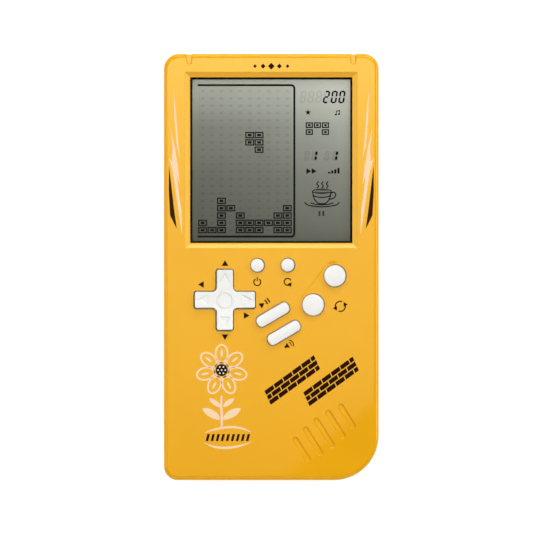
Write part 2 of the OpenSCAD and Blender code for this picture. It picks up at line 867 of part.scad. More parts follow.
module negative_contact() {
    color([0.8, 0.8, 0.78]) end_plate(cell_lower_y, tab_out + lead_step);
}

module link_plate() {
    color([0.8, 0.8, 0.78])
        block_between([bay_x1 - plate_t, cell_lower_y - 5, 4], [bay_x1, cell_upper_y + 5, 15]);
}

// Conical wire spring along X, wide end at x = 0
module coil_spring(length) {
    turns = 4;
    steps = 18;
    sides = 6;
    wire_r = 0.35;
    wide_r = 4.2;
    narrow_r = 2.2;
    last = turns * steps;
    gap = wire_r + 0.03;
    function centre(i) = let (t = i / last, a = 360 * i / steps, r = wide_r + (narrow_r - wide_r) * t)
        [gap + (length - 2 * gap) * t, r * cos(a), r * sin(a)];
    function ring(i) = let (c = centre(i), a = 360 * i / steps) [
        for (k = [0:sides - 1]) let (b = 360 * k / sides)
            c + wire_r * (cos(b) * [1, 0, 0] + sin(b) * [0, cos(a), sin(a)])
    ];
    points = [for (i = [0:last]) each ring(i)];
    polyhedron(points, [
        [for (k = [0:sides - 1]) k],
        [for (k = [sides - 1:-1:0]) last * sides + k],
        for (i = [0:last - 1], k = [0:sides - 1])
            let (a = i * sides + k, b = i * sides + (k + 1) % sides)
            each [[a, a + sides, b], [b, a + sides, b + sides]]
    ]);
}

module negative_spring() {
    color([0.8, 0.8, 0.78]) translate([bay_x0 + plate_t, cell_lower_y, cell_z]) coil_spring(spring_l);
}

module link_spring() {
    color([0.8, 0.8, 0.78]) translate([bay_x1 - plate_t, cell_upper_y, cell_z]) rotate(180)
        coil_spring(spring_l);
}

module battery_lead_red() {
    z = tab_z + plate_t + lead_r;
    color([0.75, 0.08, 0.06]) lead([bay_x0 - tab_out + 0.8, cell_upper_y, z], -34, board_z, lead_r);
}

module battery_lead_black() {
    z = tab_z + plate_t + lead_r;
    color([0.08, 0.08, 0.08])
        lead([bay_x0 - tab_out + 0.8 - lead_step, cell_lower_y, z], -34, board_z, lead_r);
}

// ---------- nodes ----------

front_shell();
rear_shell();
battery_door();
case_screws();
window_lens();
lcd_mask();
lcd_polariser();
lcd_front_glass();
lcd_rear_glass();
lcd_reflector();
lcd_foam_pad();
zebra_strip();
dpad();
dpad_pivot();
round_button(POWER_AT + cap_shift, small_r);  // power_button
round_button(RESET_AT + cap_shift, small_r);  // reset_button
bar_button(START_AT);  // start_pause_button
bar_button(SOUND_AT);  // sound_button
round_button(ROTATE_UPPER_AT + cap_shift, large_r);  // rotate_button_upper
round_button(ROTATE_LOWER_AT + cap_shift, large_r);  // rotate_button_lower
dpad_mat();
dome(PAD_DOMES[0]);  // dpad_dome_right
dome(PAD_DOMES[1]);  // dpad_dome_up
dome(PAD_DOMES[2]);  // dpad_dome_left
dome(PAD_DOMES[3]);  // dpad_dome_down
action_mat();
dome(POWER_AT);  // power_dome
dome(RESET_AT);  // reset_dome
dome(START_AT);  // start_pause_dome
dome(SOUND_AT);  // sound_dome
dome(ROTATE_UPPER_AT);  // rotate_dome_upper
dome(ROTATE_LOWER_AT);  // rotate_dome_lower
main_board();
board_screws();
game_chip();
capacitor();
transistor();
resistors();
buzzer_disc();
buzzer_ceramic();
buzzer_leads();
battery_upper();
battery_lower();
positive_contact();
negative_contact();
negative_spring();
link_plate();
link_spring();
battery_lead_red();
battery_lead_black();
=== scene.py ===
"""Looks of the handheld LCD game: printed ink, display image, keypad domes, materials, light and camera.

Places and sizes are in millimetres until a mesh, lamp or camera is made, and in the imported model's own frame:
+X to the right, +Y towards the screen end, +Z out of the screen, origin in the middle of the back face.
"""

import math

import bmesh
import bpy
from mathutils import Matrix, Vector
from mathutils.geometry import tessellate_polygon


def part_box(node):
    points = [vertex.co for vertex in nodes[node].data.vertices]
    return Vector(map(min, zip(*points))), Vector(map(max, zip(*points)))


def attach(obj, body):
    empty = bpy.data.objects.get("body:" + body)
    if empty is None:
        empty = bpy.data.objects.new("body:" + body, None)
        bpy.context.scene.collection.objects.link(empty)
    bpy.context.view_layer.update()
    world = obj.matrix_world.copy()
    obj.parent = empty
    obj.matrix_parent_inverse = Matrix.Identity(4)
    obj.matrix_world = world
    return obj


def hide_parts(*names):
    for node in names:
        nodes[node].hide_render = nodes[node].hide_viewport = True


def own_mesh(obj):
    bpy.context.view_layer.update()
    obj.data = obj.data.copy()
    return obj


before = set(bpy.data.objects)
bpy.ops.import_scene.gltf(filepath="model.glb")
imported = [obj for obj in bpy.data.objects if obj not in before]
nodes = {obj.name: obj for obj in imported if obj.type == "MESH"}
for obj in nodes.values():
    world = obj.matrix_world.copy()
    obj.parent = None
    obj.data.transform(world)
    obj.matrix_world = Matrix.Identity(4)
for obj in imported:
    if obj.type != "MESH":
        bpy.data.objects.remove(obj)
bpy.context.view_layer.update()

MM = 0.001
UP = Vector((0, 0, 1))


def span(node):
    """Lowest and highest corner of a CAD node, in millimetres."""
    low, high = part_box(node)
    return low / MM, high / MM


def middle(node):
    """Middle of a CAD node's box, in millimetres."""
    low, high = span(node)
    return (low + high) / 2


def beside(node, dx, dy):
    """A point this far, in millimetres, from the middle of a CAD node, seen from above."""
    centre = middle(node)
    return (centre.x + dx, centre.y + dy)


FACE_Z = span("front_shell")[1].z
FILM_Z = span("lcd_polariser")[1].z
INK_T = 0.03
SUNK = 0.01

# ---------- colours, linear ----------

ORANGE = (0.815, 0.380, 0.004)
ORANGE_BACK = (0.78, 0.345, 0.004)
WHITE = (0.83, 0.83, 0.795)
CREAM = (0.93, 0.66, 0.42)
BROWN = (0.02, 0.004, 0.001)
REDDISH_BROWN = (0.04, 0.01, 0.001)
NEAR_WHITE = (0.88, 0.87, 0.82)
SEGMENT = (0.006, 0.006, 0.005)


def srgb(r, g, b):
    """Linear colour of an 8-bit screen colour."""
    return tuple(((v / 255 + 0.055) / 1.055) ** 2.4 for v in (r, g, b))


# ---------- node materials ----------

class Paint:
    """A node material with one Principled shader, and short ways to add the usual nodes."""

    def __init__(self, name):
        self.material = bpy.data.materials.new(name)
        self.material.use_nodes = True
        self.tree = self.material.node_tree
        self.tree.nodes.clear()
        self.out = self.add("ShaderNodeOutputMaterial")
        self.where = self.add("ShaderNodeTexCoord").outputs["Object"]

    def add(self, kind, **settings):
        node = self.tree.nodes.new(kind)
        for key, value in settings.items():
            setattr(node, key, value)
        return node

    def put(self, socket, value):
        """Links a socket to a socket, or sets a plain value on it."""
        if isinstance(value, bpy.types.NodeSocket):
            self.tree.links.new(value, socket)
        elif isinstance(value, tuple) and len(value) == 3 and socket.type == "RGBA":
            socket.default_value = (*value, 1.0)
        else:
            socket.default_value = value

    def stretched(self, stretch):
        """Object coordinates scaled along each axis."""
        node = self.add("ShaderNodeMapping")
        self.put(node.inputs["Vector"], self.where)
        self.put(node.inputs["Scale"], Vector(stretch))
        return node.outputs["Vector"]

    def noise(self, size, detail=2.0, at=None):
        """Noise whose blotches are about this many millimetres across."""
        node = self.add("ShaderNodeTexNoise")
        self.put(node.inputs["Vector"], at or self.where)
        self.put(node.inputs["Scale"], 1 / (size * MM))
        self.put(node.inputs["Detail"], detail)
        return node.outputs["Fac"]

    def cells(self, size):
        """Distance to the middle of cells about this many millimetres across."""
        node = self.add("ShaderNodeTexVoronoi")
        self.put(node.inputs["Vector"], self.where)
        self.put(node.inputs["Scale"], 1 / (size * MM))
        return node.outputs["Distance"]

    def remap(self, value, low, high, start=0.3, end=0.7):
        """The value's start to end stretched to low to high, and held there beyond."""
        node = self.add("ShaderNodeMapRange")
        self.put(node.inputs["Value"], value)
        self.put(node.inputs["From Min"], start)
        self.put(node.inputs["From Max"], end)
        self.put(node.inputs["To Min"], low)
        self.put(node.inputs["To Max"], high)
        return node.outputs["Result"]

    def mix(self, factor, a, b):
        """Colour a at factor 0, b at factor 1."""
        node = self.add("ShaderNodeMix", data_type="RGBA")
        self.put(node.inputs["Factor"], factor)
        self.put(node.inputs["A"], a)
        self.put(node.inputs["B"], b)
        return node.outputs["Result"]

    def maths(self, operation, a, b=0.0):
        node = self.add("ShaderNodeMath", operation=operation)
        self.put(node.inputs[0], a)
        self.put(node.inputs[1], b)
        return node.outputs["Value"]

    def part(self, vector, axis):
        """One component of a vector."""
        node = self.add("ShaderNodeSeparateXYZ")
        self.put(node.inputs[0], vector)
        return node.outputs[axis]

    def relief(self, height, depth, normal=None):
        """A bumped normal whose height goes up to this many millimetres."""
        node = self.add("ShaderNodeBump")
        self.put(node.inputs["Height"], height)
        self.put(node.inputs["Distance"], depth * MM)
        if normal is not None:
            self.put(node.inputs["Normal"], normal)
        return node.outputs["Normal"]

    def finish(self, **inputs):
        """Adds the Principled shader and returns the material."""
        shader = self.add("ShaderNodeBsdfPrincipled")
        for key, value in inputs.items():
            self.put(shader.inputs[key.replace("_", " ")], value)
        self.tree.links.new(shader.outputs["BSDF"], self.out.inputs["Surface"])
        return self.material


def dimmed(colour, share):
    """The colour times a share; a share over 1 makes it brighter."""
    return tuple(c * share for c in colour)


def moulded(name, colour, gloss, wave_t, tint=(1.0, 1.0, 1.0), mottle=0.02, grain=3.5, grain_t=0.0002):
    """Moulded plastic: faint flow mottling, uneven gloss, long waves and a fine grain in the surface."""
    paint = Paint(name)
    flow = paint.remap(paint.noise(22, 3.0), 0.0, 1.0)
    fine = paint.noise(grain, 2.0)
    waves = paint.noise(14, 1.0)
    colour_here = paint.mix(flow, dimmed(colour, 1 - mottle), dimmed(colour, 1 + mottle))
    specks = paint.remap(paint.cells(2.6), 0.9, 1.0, 0.02, 0.05)
    dusty = paint.mix(specks, dimmed(colour, 0.93), colour_here)
    rough = paint.remap(paint.noise(5, 4.0), gloss * 0.8, gloss * 1.3)
    bumped = paint.relief(waves, wave_t)
    bumped = paint.relief(fine, grain_t, normal=bumped)
    return paint.finish(Base_Color=dusty, Roughness=rough, Specular_Tint=tint, IOR=1.5, Normal=bumped)


def ink(name, colour, gloss=0.32, mirror=0.1):
    """Pad-printed ink: slightly uneven cover and a satin gloss."""
    paint = Paint(name)
    cover = paint.remap(paint.noise(0.5, 4.0), 0.0, 1.0)
    blend = paint.mix(cover, dimmed(colour, 0.9), dimmed(colour, 1.08))
    rough = paint.remap(paint.noise(1.2, 2.0), gloss * 0.85, gloss * 1.2)
    bumped = paint.relief(paint.noise(0.3), 0.001)
    return paint.finish(Base_Color=blend, Roughness=rough, Specular_IOR_Level=mirror, Normal=bumped)


def metal(name, colour, gloss, brush):
    """Plated or rolled metal, with fine scratches that run along one axis."""
    paint = Paint(name)
    dull = 0.85
    lines = paint.noise(0.25, 3.0, paint.stretched(brush))
    stain = paint.remap(paint.noise(4, 3.0), dull, 1.0)
    base = paint.mix(stain, dimmed(colour, dull), colour)
    rough = paint.remap(lines, gloss * 0.7, gloss * 1.5)
    return paint.finish(Base_Color=base, Metallic=1.0, Roughness=rough, Normal=paint.relief(lines, 0.002))


def rubber(name, colour, gloss=0.55, grain=0.18):
    """Moulded silicone with a fine matt grain."""
    paint = Paint(name)
    cloud = paint.remap(paint.noise(3, 3.0), 0.0, 1.0)
    base = paint.mix(cloud, dimmed(colour, 0.93), dimmed(colour, 1.05))
    rough = paint.remap(paint.noise(0.8, 3.0), gloss * 0.9, gloss * 1.15)
    return paint.finish(Base_Color=base, Roughness=rough, Normal=paint.relief(paint.noise(grain), 0.004))


def clear_window():
    """Clear window: the display shows through it, and it mirrors more and more at a flat angle."""
    paint = Paint("clear_window")
    through = paint.add("ShaderNodeBsdfTransparent")
    mirror = paint.add("ShaderNodeBsdfGlossy")
    slant = paint.add("ShaderNodeLayerWeight")
    both = paint.add("ShaderNodeMixShader")
    paint.put(through.inputs["Color"], (0.985, 0.99, 0.985))
    paint.put(mirror.inputs["Color"], (1.0, 1.0, 1.0))
    paint.put(mirror.inputs["Roughness"], paint.remap(paint.noise(3, 3.0), 0.03, 0.08))
    paint.put(slant.inputs["Blend"], 0.5)
    paint.put(both.inputs["Fac"], paint.maths("POWER", slant.outputs["Facing"], 3.0))
    paint.tree.links.new(through.outputs["BSDF"], both.inputs[1])
    paint.tree.links.new(mirror.outputs["BSDF"], both.inputs[2])
    paint.tree.links.new(both.outputs["Shader"], paint.out.inputs["Surface"])
    return paint.material


def lcd_glass():
    """Display glass: pale green, nearly clear, with a faint etched pattern."""
    paint = Paint("lcd_glass")
    etched = paint.remap(paint.noise(1.5, 2.0), 0.0, 1.0)
    base = paint.mix(etched, (0.55, 0.62, 0.57), (0.62, 0.68, 0.63))
    return paint.finish(Base_Color=base, Roughness=0.05, Alpha=0.35, IOR=1.5)


# Display film: grey from the buttons' end to the screen end, at its left edge and at its right edge; the rise
# towards the screen end and to the right is painted light, a painted reflection of the lamps with painted shade
# towards the buttons' end
FILM_STEPS = [0.0, 0.4, 0.7, 1.0]
FILM_LEFT = [95, 115, 140, 190]
FILM_RIGHT = [110, 145, 180, 220]


def film_with_painted_light(name, share=1.0):
    """The grey of the display with painted light: a painted reflection makes it brighter towards the screen end
    and to the right.
    """
    paint = Paint(name)
    low, high = span("lcd_mask")
    x = paint.remap(paint.part(paint.where, "X"), 0.0, 1.0, low.x * MM, high.x * MM)
    y = paint.remap(paint.part(paint.where, "Y"), 0.0, 1.0, low.y * MM, high.y * MM)

    def ramp(greys):
        node = paint.add("ShaderNodeValToRGB")
        stops = node.color_ramp.elements
        while len(stops) < len(greys):
            stops.new(0.5)
        for stop, at, grey in zip(stops, FILM_STEPS, greys):
            stop.position = at
            stop.color = (*dimmed(srgb(grey, grey + 1, grey - 9), share), 1.0)
        paint.put(node.inputs["Fac"], y)
        return node.outputs["Color"]

    cloudy = paint.remap(paint.noise(18, 3.0), -0.06, 0.06)
    across = paint.maths("ADD", paint.maths("POWER", x, 1.7), cloudy)
    # Painted light: the two grey ramps are a painted reflection and painted shade across the display, not the
    # film's own colour
    shade = paint.mix(across, ramp(FILM_LEFT), ramp(FILM_RIGHT))
    fine = paint.remap(paint.noise(0.12, 1.0), 0.96, 1.04)
    grainy = paint.add("ShaderNodeVectorMath", operation="SCALE")
    paint.put(grainy.inputs[0], shade)
    paint.put(grainy.inputs["Scale"], fine)
    return paint.finish(Base_Color=grainy.outputs[0], Roughness=0.5, Specular_IOR_Level=0.12)


def board():
    """Circuit board: green lacquer over copper tracks, with tinned vias."""
    paint = Paint("board_green")
    tracks = paint.add("ShaderNodeTexBrick", offset=0.35, squash=0.6)
    paint.put(tracks.inputs["Vector"], paint.where)
    layout = {
        "Scale": 1 / MM, "Mortar Size": 0.13, "Mortar Smooth": 0.1, "Brick Width": 7.5, "Row Height": 1.35,
    }
    for key, value in layout.items():
        paint.put(tracks.inputs[key], value)
    weave = paint.remap(paint.noise(0.6, 2.0), 0.0, 1.0)
    lacquer = paint.mix(weave, (0.018, 0.13, 0.05), (0.024, 0.17, 0.065))
    copper = paint.mix(tracks.outputs["Fac"], lacquer, (0.05, 0.26, 0.10))
    via = paint.remap(paint.cells(6.5), 0.0, 1.0, 0.07, 0.085)
    base = paint.mix(via, (0.62, 0.62, 0.58), copper)
    raised = paint.relief(tracks.outputs["Fac"], 0.03)
    return paint.finish(Base_Color=base, Roughness=paint.remap(via, 0.3, 0.22, 0.0, 1.0), Normal=raised)


def striped(name, a, b, axis, pitch):
    """Layers of two colours along one axis, a pitch apart."""
    paint = Paint(name)
    along = paint.maths("FRACT", paint.maths("DIVIDE", paint.part(paint.where, axis), pitch * MM))
    layer = paint.maths("GREATER_THAN", along, 0.5)
    soft = paint.mix(paint.remap(paint.noise(0.4), 0.0, 0.25), paint.mix(layer, a, b), dimmed(b, 0.8))
    return paint.finish(Base_Color=soft, Roughness=0.5, Normal=paint.relief(layer, 0.02))


def foam():
    """Open-cell foam."""
    paint = Paint("foam")
    pores = paint.remap(paint.cells(0.7), 0.0, 1.0, 0.1, 0.6)
    base = paint.mix(pores, (0.5, 0.5, 0.46), (0.78, 0.78, 0.73))
    return paint.finish(Base_Color=base, Roughness=0.95, Normal=paint.relief(pores, 0.25))


def cell_sleeve(name, plus_x, way):
    """Printed sleeve of a dry cell: a copper end towards its button, a dark body and steel ends."""
    paint = Paint(name)
    x = paint.part(paint.where, "X")
    from_plus = paint.maths("MULTIPLY", paint.maths("SUBTRACT", plus_x * MM, x), way / MM)
    copper = paint.maths("LESS_THAN", from_plus, 12.0)
    line = paint.maths("LESS_THAN", paint.maths("ABSOLUTE", paint.maths("SUBTRACT", from_plus, 13.0)), 0.5)
    film = paint.mix(copper, (0.022, 0.024, 0.028), (0.52, 0.20, 0.06))
    film = paint.mix(line, film, (0.8, 0.8, 0.78))
    facing = paint.maths("ABSOLUTE", paint.part(paint.add("ShaderNodeNewGeometry").outputs["Normal"], "X"))
    end = paint.maths("GREATER_THAN", facing, 0.7)
    knob = paint.maths("LESS_THAN", from_plus, 1.0)
    bare = paint.maths("MAXIMUM", end, knob)
    scuffed = paint.mix(paint.remap(paint.noise(1.5, 4.0), 0.0, 0.2), film, (0.3, 0.3, 0.3))
    base = paint.mix(bare, scuffed, (0.66, 0.66, 0.64))
    rough = paint.remap(paint.noise(2.0, 3.0), 0.22, 0.38)
    bumped = paint.relief(paint.noise(0.4), 0.004)
    return paint.finish(Base_Color=base, Metallic=bare, Roughness=rough, Normal=bumped)


def capacitor_can():
    """Blue shrink sleeve with a pale stripe down one side and a bare can end."""
    paint = Paint("capacitor_blue")
    centre = middle("capacitor")
    x = paint.maths("SUBTRACT", paint.part(paint.where, "X"), centre.x * MM)
    stripe = paint.maths("GREATER_THAN", x, 1.9 * MM)
    end = paint.maths("LESS_THAN", paint.part(paint.where, "Z"), (span("capacitor")[0].z + 0.02) * MM)
    sleeve = paint.mix(paint.remap(paint.noise(0.8, 3.0), 0.0, 1.0), (0.012, 0.03, 0.14), (0.016, 0.04, 0.18))
    printed = paint.mix(stripe, sleeve, (0.55, 0.58, 0.62))
    base = paint.mix(end, printed, (0.7, 0.7, 0.7))
    bumped = paint.relief(paint.noise(0.3), 0.003)
    return paint.finish(Base_Color=base, Metallic=end, Roughness=0.3, Normal=bumped)


def banded(name, node):
    """Small resistors: tan lacquer with colour bands and tinned leads."""
    paint = Paint(name)
    centre = middle(node)
    y = paint.maths("SUBTRACT", paint.part(paint.where, "Y"), centre.y * MM)
    base = paint.mix(paint.remap(paint.noise(0.5, 3.0), 0.0, 1.0), (0.50, 0.34, 0.17), (0.60, 0.43, 0.23))
    for at, colour in ((-1.0, (0.25, 0.02, 0.01)), (-0.35, (0.02, 0.02, 0.02)), (0.3, (0.5, 0.12, 0.01))):
        off = paint.maths("ABSOLUTE", paint.maths("SUBTRACT", y, at * MM))
        base = paint.mix(paint.maths("LESS_THAN", off, 0.18 * MM), base, colour)
    tail = paint.maths("GREATER_THAN", paint.maths("ABSOLUTE", y), 1.82 * MM)
    base = paint.mix(tail, base, (0.72, 0.72, 0.70))
    bumped = paint.relief(paint.noise(0.3), 0.003)
    return paint.finish(Base_Color=base, Metallic=tail, Roughness=0.35, Normal=bumped)


GLINT = (1.0, 1.0, 0.45)
case_plastic = moulded("case_plastic", ORANGE, 0.03, 0.001, tint=GLINT)
back_plastic = moulded("back_plastic", ORANGE_BACK, 0.16, 0.0015, tint=GLINT, grain=0.25, grain_t=0.003)
button_plastic = moulded("button_white", WHITE, 0.30, 0.001, mottle=0.012, grain=0.5, grain_t=0.003)
cream_ink = ink("cream_ink", CREAM)
brown_ink = ink("brown_ink", BROWN, 0.25, 0.03)
shard_ink = ink("shard_ink", REDDISH_BROWN, 0.3, 0.03)
white_ink = ink("white_ink", NEAR_WHITE)
segment_ink = ink("segment_ink", SEGMENT, 0.5, 0.05)
dim_segment_ink = ink("dim_segment_ink", (0.045, 0.046, 0.037), 0.5, 0.05)
# The faint segments, cells, dots and field tint are the film's grey dimmed, so they carry its painted
# reflection and painted shade too
faint_ink = film_with_painted_light("faint_segments", 0.85)
faint_cell_ink = film_with_painted_light("faint_cells", 0.95)
faint_dot_ink = film_with_painted_light("faint_dots", 0.78)
film_grey = film_with_painted_light("film_with_painted_light")
field_film = film_with_painted_light("field_film", 0.91)
mask_ink = ink("mask_black", (0.003, 0.003, 0.003), 0.4, 0.05)
label_paper = ink("label_paper", (0.72, 0.71, 0.66), 0.45)
keypad_rubber = rubber("keypad_rubber", (0.56, 0.56, 0.53))
carbon_rubber = rubber("carbon_rubber", (0.02, 0.02, 0.02), 0.7)
nickel = metal("nickel", (0.72, 0.70, 0.66), 0.26, (0.08, 1, 1))
zinc = metal("zinc", (0.66, 0.66, 0.68), 0.3, (1, 1, 0.1))
silver_film = metal("silver_film", (0.62, 0.63, 0.58), 0.45, (0.05, 1, 1))
brass = metal("brass", (0.72, 0.50, 0.20), 0.3, (1, 0.06, 1))

# ---------- finishing of the CAD nodes ----------

MERGE = 1e-6
FLAT_WITHIN = math.radians(0.6)
SHARP_OVER = math.radians(32)


def joined(piece):
    """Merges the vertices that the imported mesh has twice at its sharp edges."""
    weld = piece.modifiers.new("weld", "WELD")
    weld.merge_threshold = MERGE


def dress(node, material, edge=0.0, steps=2):
    """Gives a CAD node its material and, with modifiers only, soft edges of this radius."""
    piece = nodes[node]
    piece.material_slots[0].material = material
    if edge <= 0:
        return
    joined(piece)
    flat = piece.modifiers.new("flat", "DECIMATE")
    flat.decimate_type = "DISSOLVE"
    flat.angle_limit = FLAT_WITHIN
    soft = piece.modifiers.new("soft_edges", "BEVEL")
    soft.limit_method = "ANGLE"
    soft.angle_limit = SHARP_OVER
    soft.width = edge * MM
    soft.segments = steps
    soft.use_clamp_overlap = False
    normals = piece.modifiers.new("normals", "WEIGHTED_NORMAL")
    normals.weight = 60


def smooth_wire(node, material):
    """Rounds a coarse coiled wire."""
    piece = nodes[node]
    piece.material_slots[0].material = material
    joined(piece)
    rounder = piece.modifiers.new("round", "SUBSURF")
    rounder.levels = 2
    rounder.render_levels = 2


dress("front_shell", case_plastic, 0.12)
dress("rear_shell", back_plastic, 0.10)
dress("battery_door", back_plastic, 0.10)
dress("dpad", button_plastic, 0.18, steps=3)
BUTTONS = {
    "power_button": "power", "reset_button": "reset", "start_pause_button": "start_pause",
    "sound_button": "sound", "rotate_button_upper": "rotate_upper", "rotate_button_lower": "rotate_lower",
}
for button in BUTTONS:
    dress(button, button_plastic, 0.24, steps=3)
dress("dpad_pivot", button_plastic)
dress("window_lens", clear_window())
dress("lcd_mask", mask_ink)
dress("lcd_polariser", film_grey)
glass = lcd_glass()
dress("lcd_front_glass", glass)
dress("lcd_rear_glass", glass)
dress("lcd_reflector", silver_film)
dress("lcd_foam_pad", foam())
dress("zebra_strip", striped("zebra_rubber", (0.66, 0.30, 0.30), (0.03, 0.03, 0.03), "X", 0.5))
dress("dpad_mat", keypad_rubber, 0.12)
dress("action_mat", keypad_rubber, 0.12)
dress("main_board", board(), 0.06)
dress("case_screws", zinc, 0.06)
dress("board_screws", zinc, 0.05)
dress("game_chip", rubber("resin_black", (0.008, 0.008, 0.009), 0.18, 0.6))
dress("capacitor", capacitor_can(), 0.15)
dress("transistor", rubber("transistor_black", (0.012, 0.012, 0.012), 0.4), 0.08)
dress("resistors", banded("resistor_tan", "resistors"), 0.05)
dress("buzzer_disc", brass, 0.04)
dress("buzzer_ceramic", rubber("buzzer_ceramic", (0.66, 0.64, 0.58), 0.35), 0.04)
for lead in ("buzzer_leads", "battery_lead_red"):
    dress(lead, rubber(f"{lead}_red", (0.46, 0.018, 0.012), 0.32, 0.4))
dress("battery_lead_black", rubber("lead_black", (0.012, 0.012, 0.012), 0.32, 0.4))
dress("battery_upper", cell_sleeve("cell_upper", span("battery_upper")[0].x, -1), 0.45, steps=3)
dress("battery_lower", cell_sleeve("cell_lower", span("battery_lower")[1].x, 1), 0.45, steps=3)
for contact in ("positive_contact", "negative_contact", "link_plate"):
    dress(contact, nickel, 0.08)
for round_node in ("dpad_pivot", "game_chip"):
    joined(nodes[round_node])
smooth_wire("negative_spring", nickel)
smooth_wire("link_spring", nickel)

# ---------- flat shapes, as loops of points ----------


def moved(loops, at=(0, 0), turn=0.0, size=1.0, lean=0.0):
    """Loops scaled, leant to the right by lean, turned by degrees and moved."""
    c, s = math.cos(math.radians(turn)), math.sin(math.radians(turn))
    result = []
    for loop in loops:
        leant = [((x + lean * y) * size, y * size) for x, y in loop]
        result.append([(at[0] + c * x - s * y, at[1] + s * x + c * y) for x, y in leant])
    return result


def bar(x0, y0, x1, y1):
    return [(x0, y0), (x1, y0), (x1, y1), (x0, y1)]


def block(w, h, at=(0, 0)):
    return bar(at[0] - w / 2, at[1] - h / 2, at[0] + w / 2, at[1] + h / 2)


def oval(rx, ry=None, at=(0, 0), points=40):
    ry = rx if ry is None else ry
    turns = [2 * math.pi * i / points for i in range(points)]
    return [(at[0] + rx * math.cos(a), at[1] + ry * math.sin(a)) for a in turns]


def rounded(w, h, r, points=6):
    """Outline of a rectangle with round corners."""
    loop = []
    for k, (sx, sy) in enumerate(((1, 1), (-1, 1), (-1, -1), (1, -1))):
        for i in range(points + 1):
            a = math.pi / 2 * (k + i / points)
            loop.append((sx * (w / 2 - r) + r * math.cos(a), sy * (h / 2 - r) + r * math.sin(a)))
    return loop


def smooth_line(points, closed=False, steps=8):
    """A smooth line through the points."""
    count = len(points)
    line = []
    for i in range(count if closed else count - 1):
        if closed:
            a, b, c, d = (points[(i + k) % count] for k in (-1, 0, 1, 2))
        else:
            a, b, c, d = (points[min(max(i + k, 0), count - 1)] for k in (-1, 0, 1, 2))
        for k in range(steps):
            t = k / steps
            line.append(tuple(
                0.5 * (2 * b[j] + (c[j] - a[j]) * t + (2 * a[j] - 5 * b[j] + 4 * c[j] - d[j]) * t * t
                       + (3 * b[j] - a[j] - 3 * c[j] + d[j]) * t ** 3)
                for j in range(len(b))
            ))
    if not closed:
        line.append(tuple(points[-1]))
    return line


def sides(line, closed):
    """The unit vector to the left of the line at each of its points."""
    count = len(line)
    result = []
    for i in range(count):
        before = line[(i - 1) % count] if closed else line[max(i - 1, 0)]
        after = line[(i + 1) % count] if closed else line[min(i + 1, count - 1)]
        along = Vector((after[0] - before[0], after[1] - before[1])).normalized()
        result.append((-along.y, along.x))
    return result


def stroke(points, width, closed=False, steps=8):
    """A pen stroke along a smooth line; a point may carry its own share of the width as a third number."""
    shares = [(p[0], p[1], p[2] if len(p) > 2 else 1.0) for p in points]
    line = smooth_line(shares, closed, steps)
    normals = sides(line, closed)
    half = [max(p[2], 0.06) * width / 2 for p in line]
    left = [(p[0] + n[0] * h, p[1] + n[1] * h) for p, n, h in zip(line, normals, half)]
    right = [(p[0] - n[0] * h, p[1] - n[1] * h) for p, n, h in zip(line, normals, half)]
    if closed:
        return [left, right]
    round_end = []
    for index, way in ((-1, 1), (0, -1)):
        p, n, h = line[index], normals[index], half[index]
        start = math.atan2(n[1] * way, n[0] * way)
        arc = [start - math.pi * k / 5 for k in range(1, 5)]
        round_end.append([(p[0] + h * math.cos(a), p[1] + h * math.sin(a)) for a in arc])
    return [left + round_end[0] + right[::-1] + round_end[1]]


def mirrored(loops):
    return [[(-x, y) for x, y in loop] for loop in loops]


# ---------- meshes ----------


def shown(name, mesh, material, body):
    """A new piece that rides on a body."""
    mesh.materials.clear()
    mesh.materials.append(material)
    piece = bpy.data.objects.new(name, mesh)
    bpy.context.scene.collection.objects.link(piece)
    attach(piece, body)
    return piece


def plates(name, shapes, z, thick, material, body="case"):
    """Closed flat plates from z up; each shape is an outline and any holes in it."""
    solid = bmesh.new()
    for loops in shapes:
        flat = [[Vector((x, y, 0)) for x, y in loop] for loop in loops]
        points = [p for loop in flat for p in loop]
        low = [solid.verts.new((p.x * MM, p.y * MM, z * MM)) for p in points]
        high = [solid.verts.new((p.x * MM, p.y * MM, (z + thick) * MM)) for p in points]
        for corners in tessellate_polygon(flat):
            solid.faces.new([high[i] for i in corners])
            solid.faces.new([low[i] for i in reversed(corners)])
        start = 0
        for loop in flat:
            ring = range(start, start + len(loop))
            for i in ring:
                j = i + 1 if i + 1 in ring else start
                solid.faces.new((low[i], low[j], high[j], high[i]))
            start += len(loop)
    bmesh.ops.dissolve_degenerate(solid, dist=1e-7, edges=solid.edges[:])
    bmesh.ops.recalc_face_normals(solid, faces=solid.faces[:])
    mesh = bpy.data.meshes.new(name)
    solid.to_mesh(mesh)
    solid.free()
    return shown(name, mesh, material, body)


def printed(name, shapes, material):
    """Ink on the face of the case."""
    return plates(name, shapes, FACE_Z - SUNK, INK_T + SUNK, material)


def display(name, shapes, material, rise=INK_T):
    """Segments of the display, on its film; their loops start from the middle of the display."""
    placed = [moved(loops, middle("lcd_mask").xy) for loops in shapes]
    return plates(name, placed, FILM_Z - SUNK, rise + SUNK, material, "case")


# ---------- printed signs beside the buttons ----------

PEN = 0.5
ARROW = 2.5


def arrow_head(size, at=(0, 0), turn=0.0):
    """A solid triangle that points along +X before it is turned."""
    return moved([[(-0.45 * size, 0.55 * size), (-0.45 * size, -0.55 * size), (0.5 * size, 0)]], at, turn)


def arc(radius, start, end, steps=16):
    """Points on a circle, from start to end in degrees."""
    turns = [math.radians(start + (end - start) * k / steps) for k in range(steps + 1)]
    return [(radius * math.cos(a), radius * math.sin(a)) for a in turns]


def round_arrow(radius, start, end):
    """A stroke round a circle with an arrow head at its end."""
    tip = arc(radius, start, end)[-1]
    way = 90 if end > start else -90
    return [stroke(arc(radius, start, end), PEN, steps=2), arrow_head(3.6 * PEN, tip, end + way)]


